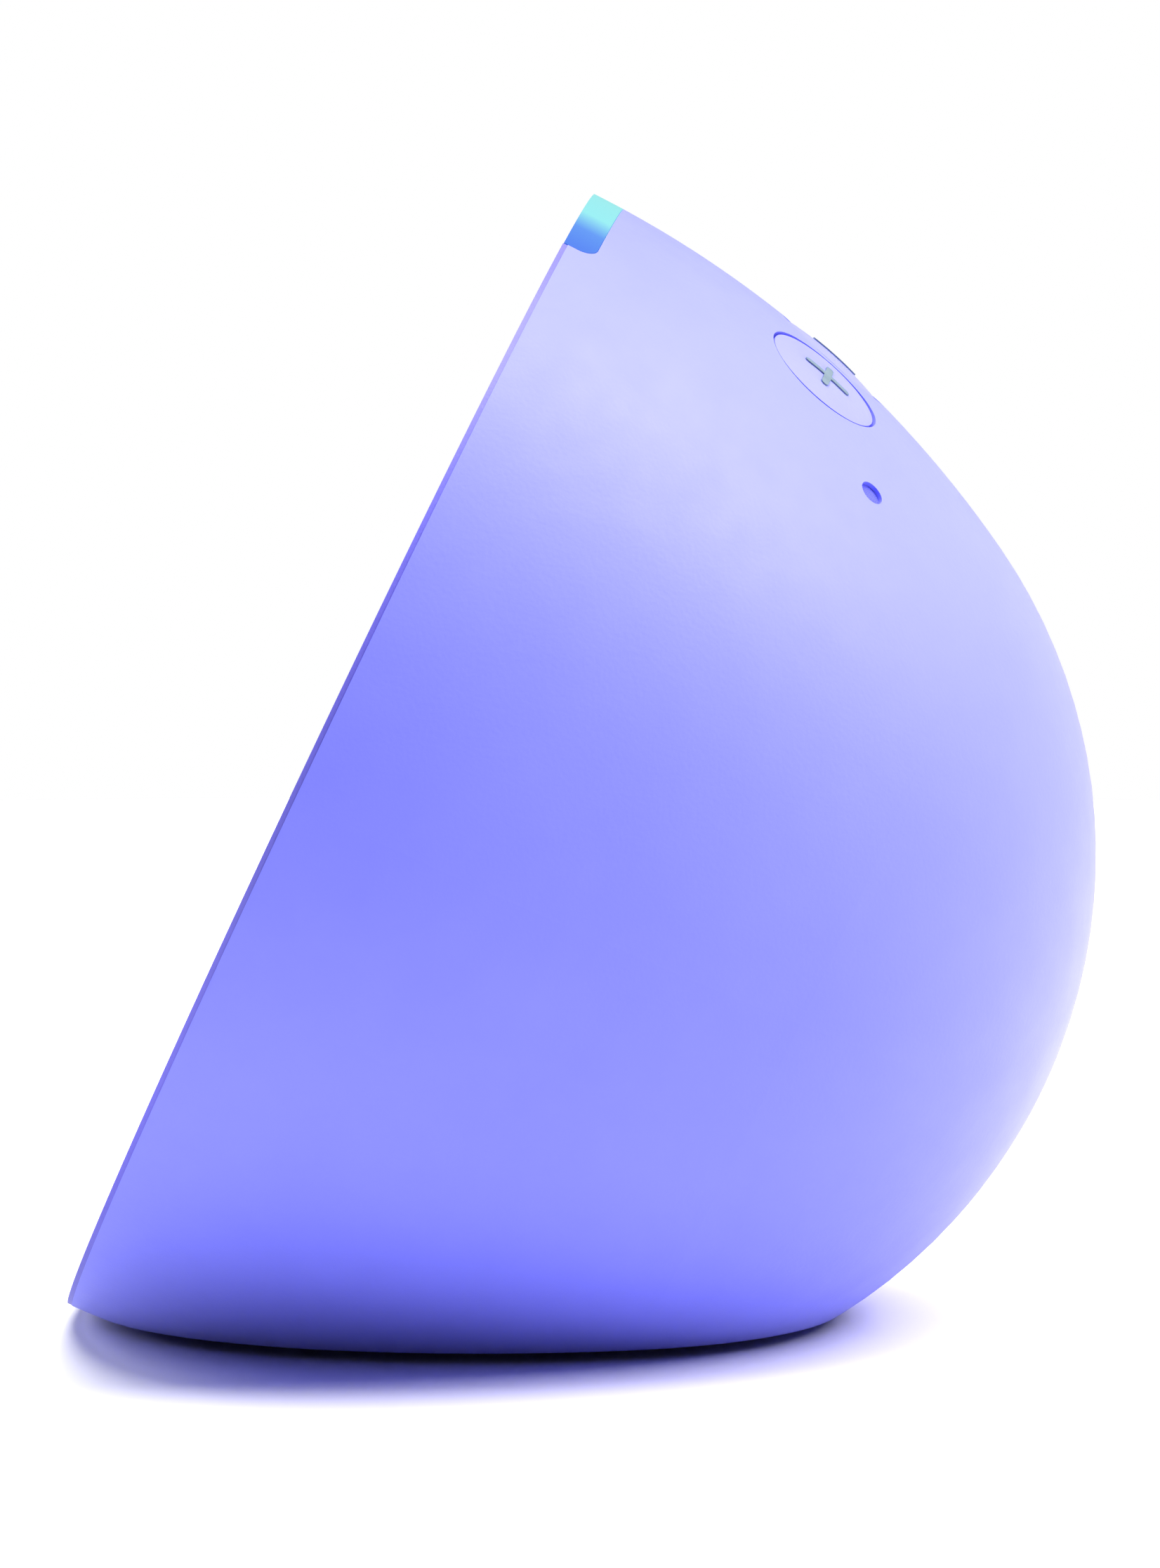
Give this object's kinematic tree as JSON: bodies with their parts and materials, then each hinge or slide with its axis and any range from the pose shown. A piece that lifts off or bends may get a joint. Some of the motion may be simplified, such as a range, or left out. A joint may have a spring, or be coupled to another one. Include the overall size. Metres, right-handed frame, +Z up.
{
  "type": "smart speaker",
  "caption": "Half-dome tabletop speaker with a leaning round cloth front, a flat base, a light bar on the rim, press keys on top and a power socket at the back.",
  "frame": {"origin": "middle of the footprint, on the resting surface", "axes": "+Z up, the leaning front face looks towards -Y, +X to the speaker's left side"},
  "size_m": [0.099, 0.0828, 0.0908],
  "materials": {
    "casing": "soft matt",
    "trim": "satin",
    "cloth": "fine knit",
    "dark_plastic": "moulded",
    "black_steel": "powder coat",
    "steel": "zinc plated",
    "ferrite": "sintered ferrite",
    "spider_cloth": "resin-stiffened cloth",
    "cone_paper": "pressed pulp",
    "copper": "enamelled copper",
    "base": "moulded",
    "rubber": "matt",
    "board": "solder mask",
    "chip": "moulded epoxy",
    "thermal": "soft",
    "aluminium": "brushed",
    "nylon": "moulded",
    "jack": "moulded",
    "contact": "nickel plated",
    "key": "soft matt",
    "mic_rubber": "matt",
    "light": "diffusing, lit",
    "white_board": "white solder mask",
    "led": "lens",
    "flex": "polyimide film",
    "lead": "insulated wire"
  },
  "bodies": {
    "casing": {"rear_shell": "casing", "front_trim": "trim", "grille_fabric": "cloth", "grille_frame": "dark_plastic", "front_baffle": "dark_plastic", "baffle_screws": "steel", "driver_gasket": "rubber", "driver_basket": "black_steel", "driver_top_plate": "steel", "driver_magnet": "ferrite", "driver_back_plate": "steel", "driver_surround": "rubber", "driver_spider": "spider_cloth", "driver_screws": "steel", "speaker_chamber": "dark_plastic", "chamber_seal": "rubber", "chamber_screws": "steel", "base_plate": "base", "foot_pad": "rubber", "base_screws": "steel", "main_board": "board", "board_chips": "chip", "shield_can": "steel", "thermal_pad": "thermal", "heat_spreader": "aluminium", "board_connectors": "nylon", "board_screws": "steel", "dc_jack": "jack", "jack_pin": "contact", "key_bracket": "dark_plastic", "key_board": "board", "key_domes": "steel", "mic_seals": "mic_rubber", "mic_modules": "chip", "light_bar": "light", "light_board": "white_board", "light_leds": "led", "wifi_antenna": "flex", "driver_leads": "lead", "jack_leads": "lead", "key_ribbon": "flex"},
    "volume_up": {"volume_up_key": "key"},
    "volume_down": {"volume_down_key": "key"},
    "mic_mute": {"mic_mute_key": "key"},
    "cone": {"driver_cone": "cone_paper", "dust_cap": "cone_paper", "voice_coil": "copper"}
  },
  "joints": [
    {"name": "volume_up_press", "type": "slide", "parent": "casing", "child": "volume_up", "axis": [-0.2415, -0.6548, -0.7162], "range_m": [0, 0.0004], "stiffness_N_per_m": 600},
    {"name": "volume_down_press", "type": "slide", "parent": "casing", "child": "volume_down", "axis": [0, -0.668, -0.7441], "range_m": [0, 0.0004], "stiffness_N_per_m": 600},
    {"name": "mic_mute_press", "type": "slide", "parent": "casing", "child": "mic_mute", "axis": [0.2415, -0.6548, -0.7162], "range_m": [0, 0.0004], "stiffness_N_per_m": 600},
    {"name": "cone_stroke", "type": "slide", "parent": "casing", "child": "cone", "axis": [0, 0.9041, -0.4274], "range_m": [-0.0015, 0.0015], "stiffness_N_per_m": 1200, "deforming": ["driver_surround", "driver_spider"]}
  ]
}
